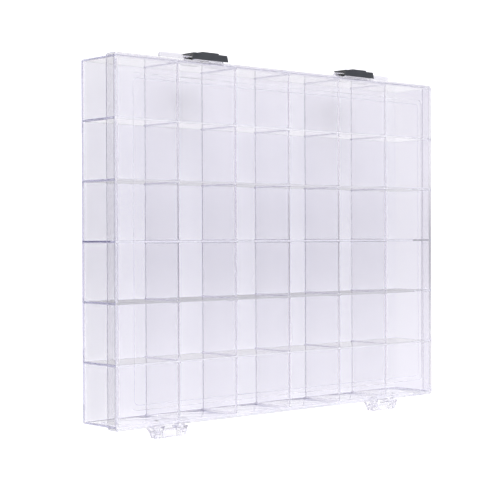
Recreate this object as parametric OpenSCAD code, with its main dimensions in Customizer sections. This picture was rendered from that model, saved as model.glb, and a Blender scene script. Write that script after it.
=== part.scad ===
// Embroidery thread box: a flat clear tray of 36 compartments with a hinged lid.
// It lies closed on its underside, latches at the front (-Y), hinges at the back (+Y).
// The origin is the middle of the face it rests on. All sizes are in millimetres.

/* [Closed box] */
// Width over the lid, left to right
lid_w = 345; // [285:1:415]
// Depth over the lid, front to back
lid_d = 272; // [225:1:330]
// Height of the closed box
box_h = 44; // [36:0.5:56]
// Corner radius of the lid, seen from above
corner_r = 2.4; // [2.3:0.1:5]
// Clearance between the lid's skirt and the tray's wall
skirt_gap = 0.25; // [0.2:0.05:0.4]
// Clearance between the lid and the edges under it
top_gap = 0.2; // [0.1:0.05:0.5]

/* [Lid] */
// Thickness of the lid's skirt
lid_wall = 1.4; // [1.1:0.1:1.8]
// Thickness of the lid's panel
lid_top = 1.8; // [1.4:0.1:2.4]
// How far the skirt reaches down the tray
skirt_h = 10.4; // [8.6:0.1:13]
// Distance from the lid's edge to its sunk field
field_inset = 14; // [10:0.5:20]
// How deep the field is sunk
field_drop = 0.4; // [0.3:0.1:0.9]
// Width of the thinner border just inside the field's edge
field_border = 3.5; // [2:0.5:6]
// Corner radius of the sunk field
field_r = 4; // [3:0.5:6]

/* [Tray] */
// Thickness of the tray's outer walls
tray_wall = 1.5; // [1.2:0.1:2]
// Thickness of the tray's floor
floor_t = 2; // [1.6:0.1:2.6]
// Thickness of the fixed shelves between rows
shelf_t = 1.5; // [1.2:0.1:2]

/* [Dividers] */
// Thickness of a removable divider
divider_t = 1.5; // [1:0.1:2]
// Clearance around a divider in its slot
slot_gap = 0.1; // [0.05:0.05:0.2]
// Width of the small ribs that make a slot
rib_w = 0.8; // [0.6:0.1:1.2]
// How far a rib stands off its shelf
rib_out = 0.7; // [0.5:0.1:1]

/* [Hinges] */
// Distance of each hinge from the middle of the box
hinge_x = 117; // [60:1:120]
// Distance of the hinge axis behind the skirt
hinge_out = 5.9; // [5.6:0.1:7]
// Half the height of ears and knuckle, which are square around the axis
hinge_half = 4; // [3.4:0.1:4]
// Radius of their long edges
hinge_edge_r = 1; // [0.8:0.1:1.4]
// Width over the two ears where they leave the tray
hinge_root_w = 36; // [32:0.5:42]
// Width over the two ears at their outer end
hinge_tip_w = 26.5; // [25.5:0.5:30]
// Width of the lid's knuckle between the ears
knuckle_w = 16; // [12:0.5:18]
// Radius of the pins at both ends of the knuckle
hinge_pin_r = 1.5; // [1.2:0.05:1.9]
// Radial running clearance of every pin
pin_gap = 0.05; // [0.03:0.01:0.1]
// Clearance beside a knuckle, and under the skirt's rim
side_gap = 0.3; // [0.2:0.05:0.5]

/* [Latches] */
// Distance of each latch from the middle of the box
latch_x = 81.6; // [40:0.2:85]
// Width of a latch at the foot of its lip
latch_w = 35.8; // [32:0.2:38]
// Width of a latch at its outer face
latch_face_w = 33.2; // [30:0.2:35]
// Width of the thicker field down the middle
pad_w = 16.6; // [12:0.2:22]
// How much thicker the middle field is
pad_t = 1; // [0.6:0.1:1.4]
// Thickness of the latch plate
plate_t = 1.2; // [1:0.1:1.5]
// Distance from the skirt to the plate's outer face
plate_out = 5.9; // [5.6:0.1:7]
// Thickness of the lip that hooks the lid
lip_t = 1.2; // [1:0.1:1.8]
// Distance from the lid's top face down to the lip
lip_drop = 1.1; // [0.5:0.1:2]
// Clearance of the lip over the skirt
lip_clear = 0.9; // [0.5:0.1:1.2]
// Radius of ears and hub around the latch's axis
latch_r = 2.1; // [1.9:0.05:2.2]
// Width of the hub between the ears
hub_w = 8; // [6:0.5:14]
// Radius of the pins at both ends of the hub
latch_pin_r = 0.9; // [0.8:0.05:1.1]
// Distance from the skirt to the latch's axis
pivot_out = 2.3; // [2:0.1:2.5]
// Distance from the skirt's rim down to the latch's axis
pivot_drop = 2.4; // [2.4:0.1:4]
// Length of the plate below the axis
tail_l = 2; // [1.8:0.1:2.4]
// Width over the two ears where they leave the tray
ear_root_w = 39.2; // [36:0.2:42]
// Width over the two ears at their outer end
ear_tip_w = 34.6; // [32:0.2:36]
// Width of the lid's catch under the lip
catch_w = 28; // [20:0.5:31]
// Height of the catch along the skirt
catch_h = 2.2; // [1.6:0.1:3]
// How far the catch stands off the skirt
catch_out = 2.6; // [1.8:0.1:3.2]

/* [Lift tabs] */
// Distance from the middle of the box to a tab's inner end
tab_x = 103; // [103:0.5:110]
// Length of a lift tab along the skirt
tab_w = 22; // [14:0.5:24]
// How far a lift tab stands off the skirt
tab_out = 5; // [3.5:0.1:6]
// Thickness of a lift tab
tab_t = 1.4; // [1:0.1:2]
// Radius of a lift tab's outer corners
tab_r = 1.6; // [0.6:0.1:2.4]

/* [Hidden] */
$fn = 96;
rows = 6;
cols = 6;
sides = [-1, 1];
clear_plastic = [0.84, 0.85, 0.94, 0.4];
dark_plastic = [0.22, 0.24, 0.23];
// How deep a moulded feature runs into the wall that carries it
root = 0.5;
// Overshoot of a cutting shape
cut = 1;

// Heights, from the face the box rests on
seam_z = box_h - skirt_h;
panel_z = box_h - lid_top;
rim_z = panel_z - top_gap;
grid_z = rim_z - field_drop;

// Tray and its grid, seen from above
skirt_inset = lid_wall + skirt_gap;
tray_w = lid_w - 2 * skirt_inset;
tray_d = lid_d - 2 * skirt_inset;
tray_r = corner_r - skirt_inset;
inner_w = tray_w - 2 * tray_wall;
inner_d = tray_d - 2 * tray_wall;
col_pitch = (inner_w + divider_t) / cols;
row_pitch = (inner_d + shelf_t) / rows;
row_d = row_pitch - shelf_t;
rib_offset = divider_t / 2 + slot_gap + rib_w / 2;

// Joint axes
hinge_y = lid_d / 2 + hinge_out;
hinge_z = seam_z;
latch_y = -lid_d / 2 - pivot_out;
latch_z = seam_z - pivot_drop;

// Latch levels
skirt_y = -lid_d / 2;
lip_top = box_h - lip_drop;
catch_top = lip_top - lip_t - side_gap;

function divider_name(r, c) = str("divider_r", r, "_c", c);
function divider_at(c) = -inner_w / 2 + c * col_pitch - divider_t / 2;
function shelf_at(r) = -inner_d / 2 + r * row_pitch - shelf_t / 2;

// Rectangle with round corners, centred on the origin
module round_rect(w, d, r) {
    square([w - 2 * r, d], center = true);
    square([w, d - 2 * r], center = true);
    for (x = sides, y = sides)
        translate([x * (w / 2 - r), y * (d / 2 - r)]) circle(r);
}

// Extrudes a profile drawn in (Y, Z) along X, from x to x + w
module along_x(x, w) {
    translate([x, 0, 0]) rotate([90, 0, 90]) linear_extrude(w) children();
}

// Round bar along X through (y, z), centred on the middle plane
module bar_x(y, z, w, r) {
    along_x(-w / 2, w) translate([y, z]) circle(r);
}

// Keeps what lies in a plan that narrows from root_w at y0 to tip_w at y1
module tapered(root_w, tip_w, y0, y1) {
    intersection() {
        children();
        linear_extrude(box_h)
            polygon([[-root_w / 2, y0], [root_w / 2, y0], [tip_w / 2, y1], [-tip_w / 2, y1]]);
    }
}

// The tray: floor, outer walls, five shelves, the slot ribs and the ears
module base_tray() {
    color(clear_plastic) difference() {
        union() {
            tray_shell();
            slot_ribs();
            for (s = sides) translate([s * hinge_x, 0, 0]) hinge_ears();
            for (s = sides) translate([s * latch_x, 0, 0]) latch_ears();
        }
        for (s = sides) {
            translate([s * hinge_x, 0, 0])
                bar_x(hinge_y, hinge_z, hinge_root_w + cut, hinge_pin_r + pin_gap);
            translate([s * latch_x, 0, 0])
                bar_x(latch_y, latch_z, ear_root_w + cut, latch_pin_r + pin_gap);
        }
    }
}

module tray_shell() {
    difference() {
        linear_extrude(rim_z) round_rect(tray_w, tray_d, tray_r);
        for (r = [1:rows])
            translate([-inner_w / 2, shelf_at(r) - shelf_t / 2 - row_d, floor_t])
                cube([inner_w, row_d, box_h]);
        // The shelves stop under the lid's sunk field, below the outer walls
        translate([-inner_w / 2, -inner_d / 2, grid_z]) cube([inner_w, inner_d, box_h]);
    }
}

// Pairs of ribs that hold each divider's two ends
module slot_ribs() {
    rib_h = grid_z - floor_t + root;
    for (c = [1:cols - 1], side = sides) {
        x = divider_at(c) + side * rib_offset - rib_w / 2;
        for (r = [1:rows - 1])
            translate([x, shelf_at(r) - shelf_t / 2 - rib_out, floor_t - root])
                cube([rib_w, shelf_t + 2 * rib_out, rib_h]);
        for (end = sides)
            translate([x, end * inner_d / 2 - (end > 0 ? rib_out : root), floor_t - root])
                cube([rib_w, rib_out + root, rib_h]);
    }
}

// Square with round corners around the hinge axis, in (Y, Z)
module hinge_square() {
    translate([hinge_y, hinge_z]) round_rect(2 * hinge_half, 2 * hinge_half, hinge_edge_r);
}

// One hinge's two ears on the tray's back wall, centred on X
module hinge_ears() {
    wall_y = tray_d / 2 - root;
    tip_y = hinge_y + hinge_half;
    web_top = seam_z - side_gap;
    web_drop = 5;
    gap_w = knuckle_w + 2 * side_gap;
    tapered(hinge_root_w, hinge_tip_w, wall_y, tip_y) difference() {
        along_x(-hinge_root_w / 2, hinge_root_w) {
            hinge_square();
            polygon([
                [wall_y, web_top],
                [hinge_y, web_top],
                [hinge_y, hinge_z - hinge_half],
                [wall_y, hinge_z - hinge_half - web_drop],
            ]);
        }
        translate([-gap_w / 2, tray_d / 2, 0]) cube([gap_w, tip_y - tray_d / 2 + cut, box_h]);
    }
}

// One latch's two ears on the tray's front wall, centred on X
module latch_ears() {
    wall_y = -tray_d / 2 + root;
    tip_y = latch_y - latch_r;
    gap_w = hub_w + 2 * side_gap;
    tapered(ear_root_w, ear_tip_w, wall_y, tip_y) difference() {
        along_x(-ear_root_w / 2, ear_root_w) {
            translate([latch_y, latch_z]) circle(latch_r);
            translate([latch_y, latch_z - latch_r]) square([wall_y - latch_y, 2 * latch_r]);
        }
        translate([-gap_w / 2, tip_y - cut, 0]) cube([gap_w, -tray_d / 2 - tip_y + cut, box_h]);
    }
}

// The lid: panel with a sunk field, skirt, hinge knuckles, catches and lift tabs
module lid() {
    color(clear_plastic) {
        lid_shell();
        for (s = sides) {
            translate([s * hinge_x, 0, 0]) lid_knuckle();
            translate([s * latch_x, 0, 0]) lid_catch();
            mirror_x(s) lift_tab();
        }
    }
}

// Mirrors left to right where s is -1
module mirror_x(s) {
    if (s < 0) mirror([1, 0, 0]) children();
    else children();
}

module lid_shell() {
    inner_field = field_inset + field_border;
    inner_r = corner_r - lid_wall;
    difference() {
        translate([0, 0, seam_z]) linear_extrude(skirt_h) round_rect(lid_w, lid_d, corner_r);
        difference() {
            translate([0, 0, seam_z - cut]) linear_extrude(panel_z - seam_z + cut)
                round_rect(lid_w - 2 * lid_wall, lid_d - 2 * lid_wall, inner_r);
            translate([0, 0, panel_z - field_drop]) linear_extrude(lid_top)
                round_rect(lid_w - 2 * inner_field, lid_d - 2 * inner_field, field_r);
        }
        translate([0, 0, box_h - field_drop]) linear_extrude(lid_top)
            round_rect(lid_w - 2 * field_inset, lid_d - 2 * field_inset, field_r);
    }
}

// Knuckle on the skirt's back, with a pin at each end, centred on X
module lid_knuckle() {
    wall_y = lid_d / 2 - root;
    web_rise = 2.6;
    pin_end_gap = 1;
    along_x(-knuckle_w / 2, knuckle_w) {
        hinge_square();
        polygon([
            [wall_y, hinge_z],
            [hinge_y, hinge_z],
            [hinge_y, hinge_z + hinge_half],
            [wall_y, hinge_z + hinge_half + web_rise],
        ]);
    }
    bar_x(hinge_y, hinge_z, hinge_tip_w - pin_end_gap, hinge_pin_r);
}

// Bar on the skirt's front that a latch's lip hooks over, centred on X
module lid_catch() {
    along_x(-catch_w / 2, catch_w) polygon([
        [skirt_y + root, catch_top],
        [skirt_y - catch_out, catch_top],
        [skirt_y - catch_out, catch_top - catch_h / 2],
        [skirt_y, catch_top - catch_h - catch_out / 2],
        [skirt_y + root, catch_top - catch_h - catch_out / 2],
    ]);
}

// Finger tab at the skirt's rim, outside the right latch
module lift_tab() {
    translate([tab_x, skirt_y, seam_z + side_gap]) linear_extrude(tab_t) {
        translate([0, -tab_out + tab_r]) square([tab_w, tab_out - tab_r + root]);
        translate([tab_r, -tab_out]) square([tab_w - 2 * tab_r, tab_out]);
        for (x = [tab_r, tab_w - tab_r]) translate([x, -tab_out + tab_r]) circle(tab_r);
    }
}

// One latch, centred on X: plate, lip, thicker middle field, hub and its two pins
module latch() {
    pin_end_gap = 1.6;
    plate_z = latch_z - tail_l;
    tapered(latch_w, latch_face_w, skirt_y - lip_clear, skirt_y - plate_out) {
        along_x(-latch_w / 2, latch_w) {
            translate([skirt_y - plate_out, plate_z]) square([plate_t, lip_top - plate_z]);
            translate([skirt_y - plate_out, lip_top - lip_t]) square([plate_out - lip_clear, lip_t]);
        }
    }
    along_x(-pad_w / 2, pad_w)
        translate([skirt_y - plate_out - pad_t, plate_z]) square([pad_t + plate_t / 2, lip_top - plate_z]);
    along_x(-hub_w / 2, hub_w) {
        translate([latch_y, latch_z]) circle(latch_r);
        translate([skirt_y - plate_out + plate_t / 2, latch_z - latch_r])
            square([plate_out - plate_t / 2 - pivot_out, 2 * latch_r]);
    }
    bar_x(latch_y, latch_z, ear_tip_w - pin_end_gap, latch_pin_r);
}

module latch_left() {
    color(dark_plastic) translate([-latch_x, 0, 0]) latch();
}

module latch_right() {
    color(dark_plastic) translate([latch_x, 0, 0]) latch();
}

// Removable divider in row r (1 at the front) and column line c (1 at the left)
module divider(r, c) {
    color(clear_plastic)
        translate([divider_at(c) - divider_t / 2, shelf_at(r) - shelf_t / 2 - row_d + slot_gap, floor_t])
        cube([divider_t, row_d - 2 * slot_gap, grid_z - floor_t]);
}

base_tray();
lid();
latch_left();
latch_right();
for (r = [1:rows], c = [1:cols - 1])
    divider(r, c);
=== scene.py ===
import math

import bmesh
import bpy
from mathutils import Matrix, Vector


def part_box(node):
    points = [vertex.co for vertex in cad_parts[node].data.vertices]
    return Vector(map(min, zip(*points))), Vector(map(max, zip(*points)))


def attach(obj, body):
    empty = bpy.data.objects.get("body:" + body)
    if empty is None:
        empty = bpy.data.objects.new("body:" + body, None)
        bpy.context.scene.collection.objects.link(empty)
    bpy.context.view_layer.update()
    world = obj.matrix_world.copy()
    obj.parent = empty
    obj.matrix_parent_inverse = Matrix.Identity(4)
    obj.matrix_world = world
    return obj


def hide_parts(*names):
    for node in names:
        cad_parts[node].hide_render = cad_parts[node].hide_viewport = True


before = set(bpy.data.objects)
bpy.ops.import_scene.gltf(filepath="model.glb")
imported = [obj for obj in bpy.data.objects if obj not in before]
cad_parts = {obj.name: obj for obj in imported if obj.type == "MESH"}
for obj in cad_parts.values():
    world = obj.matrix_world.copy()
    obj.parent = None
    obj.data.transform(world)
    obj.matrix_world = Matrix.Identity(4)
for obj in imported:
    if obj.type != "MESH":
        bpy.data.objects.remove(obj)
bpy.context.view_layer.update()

MM = 0.001

# The box stands on its hinge side in the photograph and lies on its underside here.
# Columns are the photograph's right, away and up directions, seen in the part's frame.
STANDING = Matrix(((-1, 0, 0), (0, 0, -1), (0, -1, 0))).to_4x4()

# Camera, fitted to the photograph's 500 x 500 frame
CAMERA_AT = Vector((746.2, -2.45, 827.2)) * MM
CAMERA_YAW = math.radians(41.9)
CAMERA_PITCH = math.radians(-0.51)
CAMERA_ROLL = math.radians(-0.22)
FOCAL_PX = 1355.2
PHOTO_PX = 500
SENSOR_MM = 36

# Clear plastic: the sheet itself, long ways through it, haze and moulding waves
POLYSTYRENE_IOR = 1.58
PLATE_TINT = (0.97, 0.965, 0.978, 1)
LONG_WAY_TINT = (0.3, 0.28, 0.76, 1)
LONG_WAY_DENSITY = 1
HAZE_SCALE = 30
HAZE_DETAIL = 4
HAZE_ROUGHNESS = (0.005, 0.03)
WAVE_SCALE = 22
WAVE_DETAIL = 1
WAVE_STRENGTH = 0.5
WAVE_HEIGHT = 0.03 * MM

# Rays pass straight on once they are this deep, and so does the light for shadows
DEEPEST = 44
PASSING_TINT = (0.93, 0.93, 0.95, 1)

# Edges, and where they are found
MERGE = 0.002 * MM
FLAT_ANGLE = math.radians(1)
SOFT_ANGLE = math.radians(30)
SHARP_ANGLE = math.radians(50)
AIR = 0.05 * MM
MOULD_EDGE = 0.2 * MM
LID_EDGE = 1.7 * MM
TRAY_EDGE = 0.7 * MM
LATCH_EDGE = 0.25 * MM
FIELD_EDGE = 0.18 * MM
CORNER = 2.5 * MM
LID_FRONT = 136 * MM
FIELD_X = 159 * MM
FIELD_Y = 123 * MM

# Cuts through the middles of the lid's catches and finger tabs, and beside them
LID_CUTS = [side * x * MM for x in (81.6, 99.3, 114, 128) for side in (-1, 1)]
# Cuts through the finger tabs and knuckles, and through the latch pins
TAB_HEIGHT = 34.4 * MM
PIN_HEIGHT = 31 * MM

# Moulded latch plastic, from its darkest to its lightest patches
LATCH_DARK = (0.068, 0.077, 0.075, 1)
LATCH_LIGHT = (0.098, 0.109, 0.106, 1)
CLOUD_SCALE = 90
CLOUD_DETAIL = 5
CLOUD_EDGES = (0.3, 0.7)
LATCH_ROUGHNESS = (0.3, 0.46)
GRAIN_SCALE = 2600
GRAIN_DETAIL = 2
GRAIN_STRENGTH = 0.35
GRAIN_HEIGHT = 0.06 * MM

# Studio levels, where 1 is white. They were chosen by comparing the picture's brightness.
FLOOR_RADIUS = 4
FLOOR_SIDES = 96
FLOOR_DROP = 0.3 * MM
FLOOR_COLOUR = (0.8, 0.8, 0.8, 1)
FLOOR_GLOW = 0.8
# Painted light: the floor glows for rays that come through or off the plastic, from the front level
# at -Y to the back level at +Y
PAINTED_GLOW_FRONT = 0.43
PAINTED_GLOW_BACK = 0.62
ROW_REACH = 136 * MM
# Painted reflection: light bands painted on the floor, seen only in the plastic's reflections, at
# full strength up to the box's side at +X and weaker past it
BOX_SIDE = 172 * MM
SIDE_BLEND = 4 * MM
PAINTED_BAND_STRENGTH = 2
PAINTED_SIDE_STRENGTH = 0.4
PAINTED_REFLECTION_BANDS = ((0, 0.55), (1, 0.55), (0.25, 0.62), (0.42, 0.26), (0.58, 0.2), (0.75, 0.48))
HORIZON_LIGHT = (1, 1, 1, 1)
CEILING_LIGHT = (0.22, 0.2, 0.32, 1)
SIDE_LIFT = 0.28
HORIZON_TOP = 0.1
CEILING_FROM = 0.6
SEEN_WHITE = (1, 1, 1, 1)
KEY_AT = Vector((0.2, -1.6, 1.3))
KEY_SIZE = 1.2
KEY_POWER = 18

# How many times light may bend or bounce
BOUNCES = 64
SEE_THROUGH_BOUNCES = 96


def make_camera():
    data = bpy.data.cameras.new("camera")
    data.sensor_width = SENSOR_MM
    data.lens = FOCAL_PX * SENSOR_MM / PHOTO_PX
    camera = bpy.data.objects.new("camera", data)
    bpy.context.scene.collection.objects.link(camera)
    turn = Matrix.Rotation(-CAMERA_YAW, 4, "Z")
    turn @= Matrix.Rotation(math.pi / 2 + CAMERA_PITCH, 4, "X")
    turn @= Matrix.Rotation(CAMERA_ROLL, 4, "Z")
    camera.matrix_world = Matrix.Translation(CAMERA_AT) @ STANDING @ turn
    bpy.context.scene.camera = camera


def make_material(name):
    """A new node material with only its output."""
    material = bpy.data.materials.new(name)
    material.use_nodes = True
    tree = material.node_tree
    tree.nodes.clear()
    return material, tree, tree.nodes.new("ShaderNodeOutputMaterial")


def noise(tree, place, scale, detail):
    """A noise pattern fixed to the piece."""
    node = tree.nodes.new("ShaderNodeTexNoise")
    node.inputs["Scale"].default_value = scale
    node.inputs["Detail"].default_value = detail
    tree.links.new(place.outputs["Object"], node.inputs["Vector"])
    return node.outputs[0]


def spread(tree, value, given, wanted, kind="LINEAR"):
    """A value's given range laid over the wanted one and held at its ends."""
    node = tree.nodes.new("ShaderNodeMapRange")
    node.interpolation_type = kind
    node.inputs["From Min"].default_value, node.inputs["From Max"].default_value = given
    node.inputs["To Min"].default_value, node.inputs["To Max"].default_value = wanted
    tree.links.new(value, node.inputs["Value"])
    return node.outputs[0]


def maths(tree, operation, first, second):
    """Two sockets, or a socket and a number, worked out together."""
    node = tree.nodes.new("ShaderNodeMath")
    node.operation = operation
    for socket, value in zip(node.inputs, (first, second)):
        if isinstance(value, bpy.types.NodeSocket):
            tree.links.new(value, socket)
        else:
            socket.default_value = value
    return node.outputs[0]


def raised(tree, height, strength, distance):
    """A surface normal tilted by a height pattern."""
    node = tree.nodes.new("ShaderNodeBump")
    node.inputs["Strength"].default_value = strength
    node.inputs["Distance"].default_value = distance
    tree.links.new(height, node.inputs["Height"])
    return node.outputs[0]


def either(tree, factor, first, second):
    """The first shader where the factor is 0 and the second where it is 1."""
    node = tree.nodes.new("ShaderNodeMixShader")
    for socket, value in zip(node.inputs, (factor, first, second)):
        tree.links.new(value, socket)
    return node.outputs[0]


def clear_plastic():
    """Clear polystyrene with a faint violet tint that long ways through it deepen."""
    material, tree, out = make_material("clear_polystyrene")
    add, link = tree.nodes.new, tree.links.new
    place = add("ShaderNodeTexCoord")
    path = add("ShaderNodeLightPath")
    sheet = add("ShaderNodeBsdfPrincipled")
    sheet.inputs["Base Color"].default_value = PLATE_TINT
    sheet.inputs["Transmission Weight"].default_value = 1
    sheet.inputs["IOR"].default_value = POLYSTYRENE_IOR
    haze = noise(tree, place, HAZE_SCALE, HAZE_DETAIL)
    link(spread(tree, haze, (0, 1), HAZE_ROUGHNESS), sheet.inputs["Roughness"])
    wave = noise(tree, place, WAVE_SCALE, WAVE_DETAIL)
    link(raised(tree, wave, WAVE_STRENGTH, WAVE_HEIGHT), sheet.inputs["Normal"])
    passing = add("ShaderNodeBsdfTransparent")
    passing.inputs["Color"].default_value = PASSING_TINT
    deep = maths(tree, "GREATER_THAN", path.outputs["Ray Depth"], DEEPEST)
    leave = maths(tree, "MAXIMUM", path.outputs["Is Shadow Ray"], deep)
    link(either(tree, leave, sheet.outputs[0], passing.outputs[0]), out.inputs["Surface"])
    tint = add("ShaderNodeVolumeAbsorption")
    tint.inputs["Color"].default_value = LONG_WAY_TINT
    tint.inputs["Density"].default_value = LONG_WAY_DENSITY
    link(tint.outputs[0], out.inputs["Volume"])
    return material


def latch_plastic():
    """Dark satin plastic with cloudy patches and a fine moulded grain."""
    material, tree, out = make_material("dark_latch_plastic")
    add, link = tree.nodes.new, tree.links.new
    place = add("ShaderNodeTexCoord")
    body = add("ShaderNodeBsdfPrincipled")
    cloud = noise(tree, place, CLOUD_SCALE, CLOUD_DETAIL)
    shade = add("ShaderNodeValToRGB")
    stops = zip(shade.color_ramp.elements, CLOUD_EDGES, (LATCH_DARK, LATCH_LIGHT))
    for stop, at, colour in stops:
        stop.position = at
        stop.color = colour
    link(cloud, shade.inputs[0])
    link(shade.outputs[0], body.inputs["Base Color"])
    link(spread(tree, cloud, (0, 1), LATCH_ROUGHNESS), body.inputs["Roughness"])
    grain = noise(tree, place, GRAIN_SCALE, GRAIN_DETAIL)
    link(raised(tree, grain, GRAIN_STRENGTH, GRAIN_HEIGHT), body.inputs["Normal"])
    link(body.outputs[0], out.inputs["Surface"])
    return material


def give(obj, material):
    obj.data.materials.clear()
    obj.data.materials.append(material)


def merged(node):
    """A bmesh of a CAD node with its loose triangles joined into flat faces."""
    shape = bmesh.new()
    shape.from_mesh(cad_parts[node].data)
    bmesh.ops.remove_doubles(shape, verts=shape.verts, dist=MERGE)
    bmesh.ops.dissolve_limit(
        shape, angle_limit=FLAT_ANGLE, verts=shape.verts, edges=shape.edges
    )
    return shape


def soften(shape, edges, radius, segments=2):
    bmesh.ops.bevel(
        shape, geom=edges, offset=radius, offset_type="OFFSET", affect="EDGES",
        segments=segments, profile=0.5, material=-1, clamp_overlap=False,
    )


def cut_faces(shape, at, across):
    """Cuts the faces along a plane, so that none closes around a raised detail."""
    geom = shape.verts[:] + shape.edges[:] + shape.faces[:]
    bmesh.ops.bisect_plane(shape, geom=geom, dist=MERGE, plane_co=at, plane_no=across)


def sharp_edges(shape, least=SHARP_ANGLE):
    return [e for e in shape.edges if e.calc_face_angle(0) > least]


def add_piece(name, shape, material, body, nodes):
    mesh = bpy.data.meshes.new(name)
    shape.to_mesh(mesh)
    shape.free()
    piece = bpy.data.objects.new(name, mesh)
    bpy.context.scene.collection.objects.link(piece)
    give(piece, material)
    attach(piece, body)
    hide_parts(*nodes)


def make_lid():
    shape = merged("lid")
    for x in LID_CUTS:
        cut_faces(shape, (x, 0, 0), (1, 0, 0))
    cut_faces(shape, (0, 0, TAB_HEIGHT), (0, 0, 1))
    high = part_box("lid")[1]
    rim = [
        e for e in sharp_edges(shape, SOFT_ANGLE)
        if all(abs(v.co.z - high.z) < MERGE for v in e.verts)
        and all(
            abs(abs(v.co.x) - high.x) < CORNER or abs(abs(v.co.y) - LID_FRONT) < CORNER
            for v in e.verts
        )
    ]
    soften(shape, rim, LID_EDGE, 4)
    field = [
        e for e in sharp_edges(shape)
        if all(abs(v.co.x) < FIELD_X and abs(v.co.y) < FIELD_Y for v in e.verts)
    ]
    soften(shape, field, FIELD_EDGE, 3)
    soften(shape, sharp_edges(shape), MOULD_EDGE)
    add_piece("lid_moulding", shape, clear, "lid", ["lid"])


def make_tray():
    shape = merged("base_tray")
    foot = [
        e for e in sharp_edges(shape, SOFT_ANGLE)
        if all(v.co.z < MERGE for v in e.verts)
    ]
    soften(shape, foot, TRAY_EDGE, 4)
    soften(shape, sharp_edges(shape), MOULD_EDGE)
    add_piece("tray_moulding", shape, clear, "base", ["base_tray"])


def make_divider(node):
    """A thin plate with softened edges that just clears the floor it stands on."""
    shape = merged(node)
    low = min(v.co.z for v in shape.verts)
    for v in shape.verts:
        if v.co.z < low + MERGE:
            v.co.z += AIR
    soften(shape, shape.edges[:], MOULD_EDGE)
    add_piece(node + "_plate", shape, clear, "base", [node])


def make_latch(node):
    shape = merged(node)
    cut_faces(shape, (0, 0, PIN_HEIGHT), (0, 0, 1))
    soften(shape, sharp_edges(shape, SOFT_ANGLE), LATCH_EDGE, 3)
    add_piece(node + "_moulding", shape, dark, node, [node])


def floor_with_painted_glow(tree, path, split):
    """The matte floor, lifted for the camera and for rays that come through or off the plastic. For
    those rays it has a painted glow that rises from -Y to +Y.
    """
    add, link = tree.nodes.new, tree.links.new
    matte = add("ShaderNodeBsdfDiffuse")
    matte.inputs["Color"].default_value = FLOOR_COLOUR
    reach = (-ROW_REACH, ROW_REACH)
    level = add("ShaderNodeMix")
    level.inputs["B"].default_value = FLOOR_GLOW
    link(path.outputs["Is Camera Ray"], level.inputs["Factor"])
    link(spread(tree, split.outputs["Y"], reach, (PAINTED_GLOW_FRONT, PAINTED_GLOW_BACK)), level.inputs["A"])
    straight = maths(tree, "MAXIMUM", path.outputs["Is Camera Ray"], path.outputs["Is Glossy Ray"])
    lifted = maths(tree, "MAXIMUM", straight, path.outputs["Is Transmission Ray"])
    glow = add("ShaderNodeEmission")
    link(maths(tree, "MULTIPLY", lifted, level.outputs["Result"]), glow.inputs["Strength"])
    both = add("ShaderNodeAddShader")
    link(matte.outputs[0], both.inputs[0])
    link(glow.outputs[0], both.inputs[1])
    return both.outputs[0]


def floor_painted_reflection(tree, split):
    """Painted reflection: the studio's light bands painted on the floor, which the plastic mirrors
    from front to back, weaker past the box's side at +X.
    """
    add, link = tree.nodes.new, tree.links.new
    bands = add("ShaderNodeValToRGB")
    bands.color_ramp.interpolation = "B_SPLINE"
    stops = bands.color_ramp.elements
    for i, (at, level) in enumerate(PAINTED_REFLECTION_BANDS):
        stop = stops[i] if i < 2 else stops.new(at)
        stop.position = at
        stop.color = (level, level, level, 1)
    link(spread(tree, split.outputs["Y"], (-ROW_REACH, ROW_REACH), (0, 1)), bands.inputs[0])
    edge = (BOX_SIDE, BOX_SIDE + SIDE_BLEND)
    beside = spread(tree, split.outputs["X"], edge, (PAINTED_BAND_STRENGTH, PAINTED_SIDE_STRENGTH))
    painted_mirror_glow = add("ShaderNodeEmission")
    link(bands.outputs[0], painted_mirror_glow.inputs["Color"])
    link(beside, painted_mirror_glow.inputs["Strength"])
    return painted_mirror_glow.outputs[0]


def make_floor():
    mesh = bpy.data.meshes.new("floor")
    shape = bmesh.new()
    bmesh.ops.create_circle(shape, cap_ends=True, segments=FLOOR_SIDES, radius=FLOOR_RADIUS)
    bmesh.ops.translate(shape, verts=shape.verts, vec=(0, 0, -FLOOR_DROP))
    shape.to_mesh(mesh)
    shape.free()
    floor = bpy.data.objects.new("floor", mesh)
    bpy.context.scene.collection.objects.link(floor)
    material, tree, out = make_material("floor_white_painted_light")
    add, link = tree.nodes.new, tree.links.new
    path = add("ShaderNodeLightPath")
    place = add("ShaderNodeTexCoord")
    split = add("ShaderNodeSeparateXYZ")
    link(place.outputs["Object"], split.inputs[0])
    # An odd number of mirrorings shows the painted reflection bands, an even number or none the
    # floor with its painted glow
    bounced = maths(tree, "MODULO", path.outputs["Glossy Depth"], 2)
    seen = floor_with_painted_glow(tree, path, split)
    link(either(tree, bounced, seen, floor_painted_reflection(tree, split)), out.inputs["Surface"])
    give(floor, material)


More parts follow.
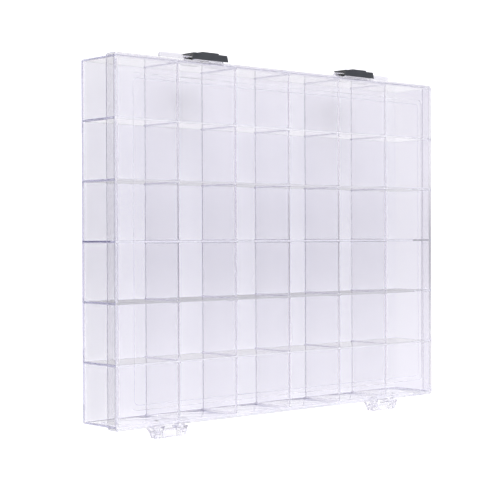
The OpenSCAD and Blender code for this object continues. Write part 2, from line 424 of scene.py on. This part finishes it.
def make_world():
    """A white horizon, higher at -X, under a dimmer ceiling. The camera itself sees white."""
    world = bpy.data.worlds.new("studio")
    bpy.context.scene.world = world
    world.use_nodes = True
    tree = world.node_tree
    tree.nodes.clear()
    add, link = tree.nodes.new, tree.links.new
    out = add("ShaderNodeOutputWorld")
    path = add("ShaderNodeLightPath")
    place = add("ShaderNodeTexCoord")
    split = add("ShaderNodeSeparateXYZ")
    link(place.outputs["Generated"], split.inputs[0])
    side = spread(tree, split.outputs["X"], (-1, 0), (-SIDE_LIFT, 0))
    lifted = maths(tree, "ADD", split.outputs["Z"], side)
    sky = add("ShaderNodeMix")
    sky.data_type = "RGBA"
    sky.inputs["A"].default_value = HORIZON_LIGHT
    sky.inputs["B"].default_value = CEILING_LIGHT
    height = spread(tree, lifted, (HORIZON_TOP, CEILING_FROM), (0, 1), "SMOOTHSTEP")
    link(height, sky.inputs["Factor"])
    light = add("ShaderNodeBackground")
    link(sky.outputs["Result"], light.inputs["Color"])
    seen = add("ShaderNodeBackground")
    seen.inputs["Color"].default_value = SEEN_WHITE
    mixed = either(tree, path.outputs["Is Camera Ray"], light.outputs[0], seen.outputs[0])
    link(mixed, out.inputs["Surface"])


def make_key():
    """One large soft lamp in front of the box and above it, aimed at its middle."""
    data = bpy.data.lights.new("key", "AREA")
    data.shape = "SQUARE"
    data.size = KEY_SIZE
    data.energy = KEY_POWER
    lamp = bpy.data.objects.new("key", data)
    bpy.context.scene.collection.objects.link(lamp)
    lamp.location = KEY_AT
    lamp.rotation_euler = (-KEY_AT).to_track_quat("-Z", "Y").to_euler()


make_camera()
clear = clear_plastic()
dark = latch_plastic()
make_lid()
make_tray()
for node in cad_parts:
    if node.startswith("divider"):
        make_divider(node)
    if node.startswith("latch"):
        make_latch(node)
make_floor()
make_world()
make_key()

scene = bpy.context.scene
scene.view_settings.view_transform = "Standard"
scene.cycles.max_bounces = BOUNCES
scene.cycles.transmission_bounces = BOUNCES
scene.cycles.glossy_bounces = BOUNCES
scene.cycles.transparent_max_bounces = SEE_THROUGH_BOUNCES
